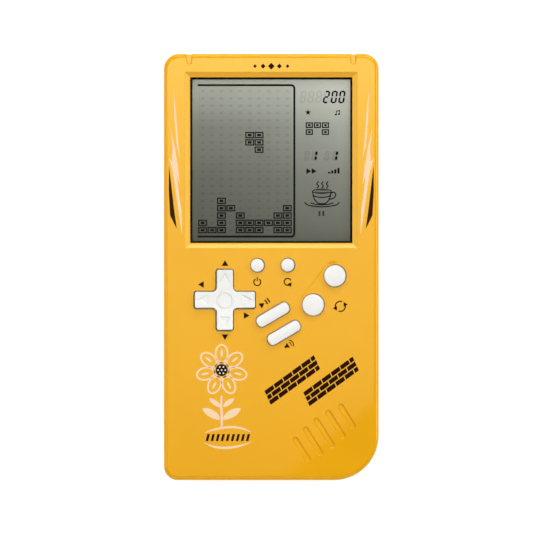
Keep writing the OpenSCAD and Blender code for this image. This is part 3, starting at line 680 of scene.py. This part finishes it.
POWER_SIGN = [stroke(arc(1.45, 130, 410), PEN, steps=2), [block(PEN, 1.6, (0, 1.2))]]
RESET_SIGN = round_arrow(1.45, 30, 320)
PLAY_SIGN = [arrow_head(2.3, (-1.3, 0)), [block(0.6, 2.2, (0.7, 0))], [block(0.6, 2.2, (1.9, 0))]]
CONE = [(-2.1, 0.5), (-1.3, 0.5), (-0.3, 1.3), (-0.3, -1.3), (-1.3, -0.5), (-2.1, -0.5)]
SOUND_SIGN = [[CONE], *(stroke(arc(radius, -50, 50, 8), 0.42, steps=2) for radius in (0.9, 1.9))]
TURN_SIGN = [*round_arrow(2.1, 20, 155), *round_arrow(2.1, 200, 335)]


def sign(name, shapes, at, turn=0.0):
    printed(name, [moved(loops, at, turn) for loops in shapes], brown_ink)


sign("sign_up", [arrow_head(ARROW)], beside("dpad", 0, 15.3), 90)
sign("sign_left", [arrow_head(ARROW)], beside("dpad", -10.0, 6.4), 180)
sign("sign_right", [arrow_head(ARROW)], beside("dpad", 9.0, -6.6))
sign("sign_down", [arrow_head(ARROW)], beside("dpad", 0, -15.6), -90)
sign("sign_power", POWER_SIGN, beside("power_button", 0, -7.0))
sign("sign_reset", RESET_SIGN, beside("reset_button", 0, -7.0))
sign("sign_start_pause", PLAY_SIGN, beside("start_pause_button", -3.4, 4.9), 35)
sign("sign_sound", SOUND_SIGN, beside("sound_button", 2.1, -5.0), 33)
sign("sign_rotate", TURN_SIGN, beside("rotate_button_lower", 11.4, -0.6), 54)

# ---------- printed decoration ----------

# Jagged streaks beside the window, drawn from the middle of its left edge and mirrored to the right
SLIVER = [(-5.4, 29.9), (-4.3, 18.3), (-3.5, 7.3), (-2.7, 0.3), (-4.2, 6.3), (-5.1, 17.3)]
BOLT = [
    (-6.8, 13.5), (-4.8, 4.8), (-3.6, -2.7), (-2.8, -10.3), (-4.0, -6.5), (-3.0, -15.7), (-2.1, -21.1),
    (-1.9, -31.1), (-3.3, -22.2), (-4.8, -11.7), (-5.8, -5.3), (-7.3, 0.7), (-6.2, -0.7), (-5.9, 5.3)
]
SHARD = [(-7.4, -2.1), (-6.6, -8.7), (-5.2, -20.7), (-4.1, -28.8), (-6.9, -23.1), (-7.45, -12.7)]
WINDOW_LEFT = (span("window_lens")[0].x, middle("window_lens").y)
STREAKS = [moved([loop], WINDOW_LEFT) for loop in (SLIVER, BOLT)]
SHADE = moved([SHARD], WINDOW_LEFT)
printed("side_bolts", STREAKS + [mirrored(loops) for loops in STREAKS], cream_ink)
printed("side_shards", [SHADE, mirrored(SHADE)], shard_ink)

# Two slanted bands of bricks
COURSES, BRICK_W, BRICK_H, JOINT, SHORTEST_BRICK = 3, 4.3, 1.8, 0.42, 1.2
BAND_LENGTH, BAND_TURN = 25.5, 36


def brick_band(start):
    """Bricks laid in courses, on a line from start; every second course is shifted by half a brick."""
    shapes = []
    for row in range(COURSES):
        y = row * (BRICK_H + JOINT)
        edge = -(row % 2) * (BRICK_W + JOINT) / 2
        while edge < BAND_LENGTH:
            x0, x1 = max(edge, 0.0), min(edge + BRICK_W, BAND_LENGTH)
            if x1 - x0 > SHORTEST_BRICK:
                shapes.append(moved([bar(x0, y, x1, y + BRICK_H)], start, BAND_TURN, lean=0.2))
            edge += BRICK_W + JOINT
    return shapes


UPPER_BAND, LOWER_BAND = beside("sound_button", -5.5, -30.1), beside("sound_button", 10.7, -30.7)
printed("brick_bands", brick_band(UPPER_BAND) + brick_band(LOWER_BAND), brown_ink)

# Flower motif: petals round a seeded centre, with a stem and two pairs of leaves
FLOWER_AT = beside("dpad", -1.4, -29.4)
PETALS = 7
PETAL_OUT = 6.9
SEEDS = 6


def flower_petals():
    """Petals with a vein in each, and the ring round the centre."""
    petal = stroke(oval(3.7, 2.5, (PETAL_OUT, 0), 12), 0.75, closed=True, steps=3)
    vein = [oval(1.7, 0.5, (PETAL_OUT + 0.2, 0), 16)]
    shapes = []
    for k in range(PETALS):
        turn = 90 + 360 / PETALS * k
        shapes += [moved(petal, FLOWER_AT, turn), moved(vein, FLOWER_AT, turn)]
    shapes.append(moved(stroke(oval(3.1, points=16), 0.5, closed=True, steps=3), FLOWER_AT))
    return shapes


def flower_leaves():
    """Stem with a large and a small pair of leaves."""
    stem = stroke([(0, -10.9, 0.7), (-0.2, -15.0, 0.9), (0.1, -19.5, 1.0), (0.0, -23.5, 0.8)], 1.1)
    leaf = smooth_line([(0, 0), (2.4, 1.6), (6.0, 1.5), (8.6, 0), (6.0, -1.3), (2.4, -1.2)], closed=True)
    shapes = [stem]
    for foot, turn, size in ((-20.6, 32, 1.0), (-15.4, 38, 0.66)):
        right = moved([leaf], (0.7, foot), turn, size)
        shapes += [right, mirrored(right)]
    return [moved(loops, FLOWER_AT) for loops in shapes]


printed("flower_petals", flower_petals(), cream_ink)
printed("flower_leaves", flower_leaves(), cream_ink)
printed("flower_centre", [moved([oval(2.5)], FLOWER_AT)], brown_ink)
seed_spots = [(0, 0)] + [(1.5 * x, 1.5 * y) for x, y in oval(1, points=SEEDS)]
plates(
    "flower_seeds", [moved([oval(0.34, at=spot, points=16)], FLOWER_AT) for spot in seed_spots],
    FACE_Z + INK_T / 2, INK_T, white_ink,
)

# An even row of slanted bars between two brush strokes, under the flower
ROW_AT = (FLOWER_AT[0] + 2.6, FLOWER_AT[1] - 28.2)
BARS, BAR_PITCH = 9, 2.1
bar_xs = [BAR_PITCH * (k - (BARS - 1) / 2) for k in range(BARS)]
bar_row = [moved([block(1.05, 2.9)], (ROW_AT[0] + x, ROW_AT[1]), lean=0.25) for x in bar_xs]
printed("bar_row", bar_row, brown_ink)
swoosh = stroke([(-9.6, 2.0, 0.2), (-5.0, 3.5, 0.8), (0.5, 4.3, 1.0), (5.6, 3.9, 0.8), (9.6, 2.3, 0.2)], 1.0)
printed("swooshes", [moved(swoosh, ROW_AT), moved(swoosh, ROW_AT, 180)], cream_ink)

# A plain row of diamonds between the window and the end
DIAMOND_SIZES = [1.3, 1.7, 2.3, 1.7, 1.3]
DIAMOND_PITCH = 3.4
ENDWARD = span("front_shell")[1].y - 5.3
diamonds = []
for k, size in enumerate(DIAMOND_SIZES):
    x = DIAMOND_PITCH * (k - (len(DIAMOND_SIZES) - 1) / 2)
    diamonds.append(moved([oval(0.62 * size, points=4)], (x, ENDWARD)))
printed("end_diamonds", diamonds, brown_ink)

# ---------- display image, drawn from the middle of the display ----------

COLUMN_PITCH, ROW_PITCH = 3.938, 3.064
FIRST_CELL = (-28.74, -29.28)
CELL_W, CELL_H, CELL_LINE = 3.74, 2.66, 0.5
DOT_W, DOT_H = 1.6, 1.05
COLUMNS, ROWS = 10, 20
STACK = ["1110111011", "1010111111", "0010100011", "0011000001", "0010000000"]
FALLING = [(5, 13), (5, 12), (6, 12), (6, 11), (6, 13)]


def cell(at, w=CELL_W, h=CELL_H, dot=(DOT_W, DOT_H)):
    """A square segment: a frame and the dot in it."""
    frame_loops = [block(w, h, at), block(w - 2 * CELL_LINE, h - 2 * CELL_LINE, at)]
    return [frame_loops, [block(dot[0], dot[1], at)]]


def cell_at(column, row):
    return (FIRST_CELL[0] + COLUMN_PITCH * column, FIRST_CELL[1] + ROW_PITCH * row)


lit_cells = {(c, r) for r, line in enumerate(STACK) for c, mark in enumerate(line) if mark == "1"}
lit_cells |= set(FALLING)
dark_cells = [(c, r) for c in range(COLUMNS) for r in range(ROWS) if (c, r) not in lit_cells]
low_cell, high_cell = cell_at(-0.5, -0.5), cell_at(COLUMNS - 0.5, ROWS - 0.5)
display("field_tint", [[bar(*low_cell, *high_cell)]], field_film, 0.5 * SUNK)
display("field_cells_lit", [s for c, r in sorted(lit_cells) for s in cell(cell_at(c, r))], segment_ink)
display("field_cells_faint", [cell(cell_at(c, r))[0] for c, r in dark_cells], faint_cell_ink)
display("field_dots_faint", [cell(cell_at(c, r), dot=(1.1, 0.85))[1] for c, r in dark_cells], faint_dot_ink)

PREVIEW_FIRST = (15.95, 14.7)
PREVIEW_PITCH = (3.37, 2.9)
PREVIEW_LIT = {(0, 0), (1, 0), (2, 0), (0, 1), (2, 1)}
PREVIEW_SIZE = {"w": 2.98, "h": 2.4, "dot": (1.1, 0.85)}


def preview_at(column, row):
    return (PREVIEW_FIRST[0] + PREVIEW_PITCH[0] * column, PREVIEW_FIRST[1] - PREVIEW_PITCH[1] * row)


def preview_cells(places):
    """Square segments at these columns and rows of the preview."""
    return [loops for c, r in places for loops in cell(preview_at(c, r), **PREVIEW_SIZE)]


preview_dark = [(c, r) for c in range(4) for r in range(4) if (c, r) not in PREVIEW_LIT]
display("preview_lit", preview_cells(sorted(PREVIEW_LIT)), segment_ink)
display("preview_faint", preview_cells(preview_dark), faint_cell_ink)


def field_line():
    """The line round the playing field, open on the left, with round corners on the right."""
    left, right, top, bottom = -30.8, 9.65, 31.45, -31.95
    line, r, steps = 0.84, 1.3, 6
    corners = [(right - r, bottom + r, -90), (right - r, top - r, 0)]
    path = [(left, bottom)]
    for cx, cy, start in corners:
        path += [(cx + x, cy + y) for x, y in arc(r, start, start + 90, steps)]
    path.append((left, top))
    normals = sides(path, False)
    outer = [(p[0] - n[0] * line / 2, p[1] - n[1] * line / 2) for p, n in zip(path, normals)]
    inner = [(p[0] + n[0] * line / 2, p[1] + n[1] * line / 2) for p, n in zip(path, normals)]
    return [outer + inner[::-1]]


display("field_line", [field_line()], segment_ink)

# Seven-segment digits: which segments are lit, from the top round to the middle
SEGMENTS = {"0": "abcdef", "1": "bc", "2": "abged"}


def digit(mark, at, width, height, line, lit=True):
    """The lit or the unlit segments of a leaning seven-segment digit."""
    w, h, t, gap = width / 2, height / 2, line, 0.16
    end = w - gap - t / 2
    across = [(-end, 0), (-w + t, t / 2), (w - t, t / 2), (end, 0), (w - t, -t / 2), (-w + t, -t / 2)]
    tip, cut = gap + 0.05, t * 0.63
    upright = [(0, tip), (t / 2, cut), (t / 2, h - cut), (0, h - tip), (-t / 2, h - cut), (-t / 2, cut)]
    places = {
        "a": (across, 0, h - t / 2), "g": (across, 0, 0), "d": (across, 0, -h + t / 2),
        "b": (upright, w - t / 2, -t * 0.1), "c": (upright, w - t / 2, -h + t * 0.1),
        "f": (upright, -w + t / 2, -t * 0.1), "e": (upright, -w + t / 2, -h + t * 0.1),
    }
    shapes = []
    for segment, (loop, dx, dy) in places.items():
        if (segment in SEGMENTS.get(mark, "")) == lit:
            shapes.append(moved([[(x + dx, y + dy) for x, y in loop]], at, lean=0.16))
    return shapes


# Each digit and its middle, and the width, height and line of both kinds
SCORE = [(mark, (13.4 + 3.24 * place, 26.5)) for place, mark in enumerate(["", "", "", "2", "0", "0"])]
LEVELS = [("", (14.9, 1.9)), ("1", (18.0, 1.9)), ("", (23.4, 1.9)), ("1", (26.6, 1.9))]
SCORE_SIZE, LEVEL_SIZE = (2.5, 5.3, 0.72), (2.5, 4.5, 1.0)
counters = [(*each, *SCORE_SIZE) for each in SCORE] + [(*each, *LEVEL_SIZE) for each in LEVELS]
display("digits_lit", [loops for each in counters for loops in digit(*each)], segment_ink)
display("digits_faint", [loops for each in counters for loops in digit(*each, lit=False)], faint_ink)

# Small signs of the display: a star for the best score, a note, a fast-forward sign, steps and a pause sign
STAR = [(r * x, r * y) for r, (x, y) in zip([1.35, 0.55] * 5, moved([oval(1, points=10)], turn=18)[0])]
FAST_SIGN = [arrow_head(2.2, (-1.3, 0)), arrow_head(2.2, (0.9, 0))]
STEPS_SIGN = [[bar(1.3 * k - 2.5, -1.0, 1.3 * k - 1.6, -0.3 + 0.55 * k)] for k in range(4)]
PAUSE_SIGN = [[block(0.8, 2.1, (-0.8, 0))], [block(0.8, 2.1, (0.8, 0))]]
NOTE = [
    [oval(0.48, 0.36, (-0.65, -0.75), 16)], [oval(0.48, 0.36, (0.65, -0.55), 16)],
    [bar(-0.45, -0.75, -0.18, 0.75)], [bar(0.83, -0.55, 1.11, 0.95)],
    [[(-0.45, 0.45), (1.11, 0.65), (1.11, 1.1), (-0.45, 0.9)]],
]
for sign_name, shapes, spot, shade in (
    ("star_sign", [[STAR]], (15.4, 20.05), segment_ink),
    ("music_note", NOTE, (27.7, 19.9), segment_ink),
    ("fast_sign", FAST_SIGN, (17.0, -4.55), segment_ink),
    ("steps_sign", STEPS_SIGN, (26.3, -4.55), segment_ink),
    ("pause_sign", PAUSE_SIGN, (21.0, -22.3), dim_segment_ink),
):
    display(sign_name, [moved(loops, spot) for loops in shapes], shade)


def cup_icon():
    """A steaming cup on a saucer, for a pause."""
    pen = 0.46
    rim = [oval(3.9 + pen / 2, 0.85 + pen / 2, (0, 1.5)), oval(3.9 - pen / 2, 0.85 - pen / 2, (0, 1.5))]
    coffee = [oval(2.8, 0.5, (0, 1.4)), oval(2.6, 0.3, (0, 1.4))]
    left_side = [(-3.9, 1.4), (-3.6, -0.4), (-2.8, -2.3), (-1.5, -3.5)]
    side = [*left_side, (0, -3.7), *((-x, y) for x, y in reversed(left_side))]
    handle = [(3.6, 0.7), (5.0, 1.1), (5.8, 0.1), (5.0, -1.3), (3.0, -1.9)]
    saucer = [(-7.2, -3.2), (-6.0, -4.2), (-3, -4.8), (0, -5.0), (3, -4.8), (6.0, -4.2), (7.2, -3.2)]
    steam = [[(x, 2.9), (x + 0.6, 3.7), (x - 0.1, 4.6), (x + 0.5, 5.5)] for x in (-2.0, 0.0, 2.0)]
    trim = [(-3.55, -0.3), (-2.0, -0.85), (0, -1.05), (2.0, -0.85), (3.55, -0.3)]
    foot = [(-4.6, -3.4), (-2.6, -3.95), (0, -4.1), (2.6, -3.95), (4.6, -3.4)]
    return [rim, coffee, *(stroke(line, pen, steps=5) for line in (side, handle, saucer, trim, foot, *steam))]


display("pause_cup", [moved(loops, (21.2, -14.5)) for loops in cup_icon()], segment_ink)

# ---------- keypad domes ----------

DOME_R = 3.2
PILL_R, PILL_Z = 1.6, 1.28
DOME_JOINTS = {
    "dpad_dome_up": "pad_tilt_up_down", "dpad_dome_down": "pad_tilt_up_down",
    "dpad_dome_left": "pad_tilt_left_right", "dpad_dome_right": "pad_tilt_left_right",
    "power_dome": "power_press", "reset_dome": "reset_press", "start_pause_dome": "start_pause_press",
    "sound_dome": "sound_press", "rotate_dome_upper": "rotate_upper_press",
    "rotate_dome_lower": "rotate_lower_press",
}


def dome(node):
    """A rubber dome with a soft skirt, a flat crown and a carbon pill under it."""
    low, high = span(node)
    centre, height = (low + high) / 2, high.z - low.z
    # Radius and height of each ring: up the skirt, over the crown, and down inside past the pill
    profile = [
        (2.25, 0.0), (DOME_R, 0.0), (DOME_R, 0.68), (3.12, 0.8), (2.95, 0.92), (2.72, 1.25), (2.45, 2.0),
        (2.24, 2.7), (2.12, height - 0.34), (1.98, height - 0.1), (1.72, height), (1.0, height),
        (0.5, height - 0.12), (0.0, height - 0.15), (0.0, PILL_Z), (1.35, PILL_Z), (1.5, 1.4), (1.5, 1.7),
        (1.7, 1.82), (2.05, 1.5), (2.25, 0.8),
    ]
    steps = 48
    solid = bmesh.new()
    rings = []
    for r, z in profile:
        ring = oval(r, at=centre.xy, points=steps if r > 0 else 1)
        rings.append([solid.verts.new((x * MM, y * MM, (low.z + z) * MM)) for x, y in ring])
    for one, two in zip(rings, rings[1:] + rings[:1]):
        if len(one) == 1 and len(two) == 1:
            continue
        for k in range(steps):
            corners = [one[k % len(one)], one[(k + 1) % len(one)], two[(k + 1) % len(two)], two[k % len(two)]]
            solid.faces.new(list(dict.fromkeys(corners)))
    bmesh.ops.recalc_face_normals(solid, faces=solid.faces[:])
    for face in solid.faces:
        face.smooth = True
        low_face = all(v.co.z < (low.z + PILL_Z + 0.07) * MM for v in face.verts)
        reach = max(math.hypot(v.co.x - centre.x * MM, v.co.y - centre.y * MM) for v in face.verts)
        face.material_index = 1 if low_face and reach < PILL_R * MM else 0
    mesh = bpy.data.meshes.new(f"{node}_rubber")
    solid.to_mesh(mesh)
    solid.free()
    piece = shown(f"{node}_rubber", mesh, keypad_rubber, "case")
    mesh.materials.append(carbon_rubber)
    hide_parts(node)
    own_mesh(piece)


for dome_node, dome_joint in DOME_JOINTS.items():
    dome(dome_node)

# ---------- blank label on the back ----------

LABEL_AT = beside("rear_shell", 0, 18)
LABEL_Z = 0.06
label_outline = moved([rounded(47.2, 25.2, 1.8)], LABEL_AT)
plates("back_label", [label_outline], LABEL_Z, 0.26, label_paper)
frame_line = moved([rounded(45.2, 23.2, 1.2), rounded(44.6, 22.6, 1.0)], LABEL_AT)
rules = [[block(38, 0.25, (0, LABEL_AT[1] - 6 + 4 * k))] for k in range(4)]
plates("back_label_lines", [frame_line, *rules], LABEL_Z - 0.02, 0.04, dim_segment_ink)

# ---------- floor, lamps and camera, in metres ----------

# The camera looks straight down from STAND_OFF above the face and sees VIEW_W of it
STAND_OFF = 1.60
VIEW_W = 0.2228
SENSOR = 36.0
SIDEWAYS, ALONG = -0.0020, 0.0002
# The overhead lamp hangs at PANEL_H; its steps are a place along Y and the share of its full brightness
PANEL_H = 1.90
OVERHEAD_STEPS = [
    (-0.6, 0.1), (-0.2, 0.12), (-0.1, 0.3), (0.05, 0.48), (0.13, 0.7), (0.18, 1.0), (0.25, 1.0),
    (0.4, 0.15), (1.2, 0.1),
]
# Soft lamps that face the object: name, centre, size, radiance and the direction of the first side
SOFT_LAMPS = [
    ("key", (0.75, 1.05, 1.3), (0.8, 0.8), 2.0, (1, 0, 0)),
    ("far_side", (0.4, 2.3, 1.15), (2.2, 0.55), 7.2, (1, 0, 0)),
    ("near_side", (0.0, -2.2, 1.3), (2.6, 1.2), 1.5, (1, 0, 0)),
    ("right_side", (2.3, 0.3, 1.3), (1.6, 0.9), 4.0, (0, 1, 0)),
    ("left_side", (-2.3, 0.3, 1.3), (1.6, 0.9), 3.0, (0, 1, 0)),
]


def pale_paint(name, glow):
    """A pale matt surface that glows a little."""
    paint = Paint(name)
    shade = paint.mix(paint.remap(paint.noise(60, 3.0), 0.0, 1.0), (0.45, 0.45, 0.45), (0.46, 0.46, 0.46))
    white = (1.0, 1.0, 1.0)
    return paint.finish(Base_Color=shade, Roughness=0.9, Emission_Color=white, Emission_Strength=glow)


def staged(name, surface, glow):
    """A part of the set, which isn't part of the object."""
    mesh = bpy.data.meshes.new(name)
    surface.to_mesh(mesh)
    surface.free()
    mesh.materials.append(pale_paint(name, glow))
    piece = bpy.data.objects.new(name, mesh)
    bpy.context.scene.collection.objects.link(piece)
    return piece


def floor():
    """A pale floor, and a far pale wall round it that only closes the background and lights nothing."""
    surface = bmesh.new()
    bmesh.ops.create_grid(surface, x_segments=1, y_segments=1, size=5.0)
    staged("floor", surface, 0.78)
    ring = bmesh.new()
    raise_it = Matrix.Translation((0, 0, 2.0))
    bmesh.ops.create_cone(ring, segments=64, radius1=4.8, radius2=4.8, depth=4.0, matrix=raise_it)
    wall = staged("wall", ring, 1.0)
    wall.visible_diffuse = wall.visible_glossy = wall.visible_transmission = wall.visible_shadow = False


def panel(name, centre, size, radiance, target, side):
    """A flat soft lamp that faces a target, with its first side along the given direction."""
    lamp = bpy.data.lights.new(name, "AREA")
    lamp.shape = "RECTANGLE"
    lamp.size, lamp.size_y = size
    lamp.energy = radiance * math.pi * size[0] * size[1]
    holder = bpy.data.objects.new(name, lamp)
    bpy.context.scene.collection.objects.link(holder)
    back = (Vector(centre) - Vector(target)).normalized()
    across = (Vector(side) - back * back.dot(Vector(side))).normalized()
    axes = Matrix((across, back.cross(across), back)).transposed().to_4x4()
    holder.matrix_world = Matrix.Translation(centre) @ axes
    return lamp


def graded(lamp, steps):
    """Makes a lamp brighter or dimmer along Y, from (metres, share) steps."""
    lamp.use_nodes = True
    tree = lamp.node_tree
    where = tree.nodes.new("ShaderNodeNewGeometry")
    split = tree.nodes.new("ShaderNodeSeparateXYZ")
    level = tree.nodes.new("ShaderNodeMapRange")
    ramp = tree.nodes.new("ShaderNodeValToRGB")
    start, end = steps[0][0], steps[-1][0]
    level.inputs["From Min"].default_value, level.inputs["From Max"].default_value = start, end
    stops = ramp.color_ramp.elements
    while len(stops) < len(steps):
        stops.new(0.5)
    for stop, (y, share) in zip(stops, steps):
        stop.position = (y - start) / (end - start)
        stop.color = (share, share, share, 1.0)
    tree.links.new(where.outputs["Position"], split.inputs[0])
    tree.links.new(split.outputs["Y"], level.inputs["Value"])
    tree.links.new(level.outputs["Result"], ramp.inputs["Fac"])
    tree.links.new(ramp.outputs["Color"], tree.nodes["Emission"].inputs["Color"])


def lamps():
    """A large panel overhead, whose mirrored edge crosses the lower right corner, and the soft lamps."""
    spread = 1 + PANEL_H / STAND_OFF
    edge_turn, edge_at = math.radians(-50.3), 0.0710
    across = Vector((math.cos(edge_turn), math.sin(edge_turn), 0))
    along = Vector((-across.y, across.x, 0))
    width, length = 2.2, 2.6
    middle_at = across * (edge_at * spread - width / 2) + along * 0.55 + UP * PANEL_H
    overhead = panel("overhead", middle_at, (width, length), 5.0, middle_at - UP, across)
    graded(overhead, OVERHEAD_STEPS)
    for name, centre, size, radiance, side in SOFT_LAMPS:
        panel(name, centre, size, radiance, (0, 0, 0), side)


def surroundings():
    world = bpy.data.worlds.new("surroundings")
    world.use_nodes = True
    sky = world.node_tree.nodes["Background"]
    sky.inputs["Color"].default_value = (1.0, 0.99, 0.97, 1.0)
    sky.inputs["Strength"].default_value = 0.22
    bpy.context.scene.world = world


def camera():
    lens = bpy.data.cameras.new("camera")
    lens.sensor_width = SENSOR
    lens.lens = SENSOR * STAND_OFF / VIEW_W
    holder = bpy.data.objects.new("camera", lens)
    holder.location = (SIDEWAYS, ALONG, FACE_Z * MM + STAND_OFF)
    bpy.context.scene.collection.objects.link(holder)
    bpy.context.scene.camera = holder


floor()
lamps()
surroundings()
camera()
bpy.context.scene.view_settings.view_transform = "Standard"
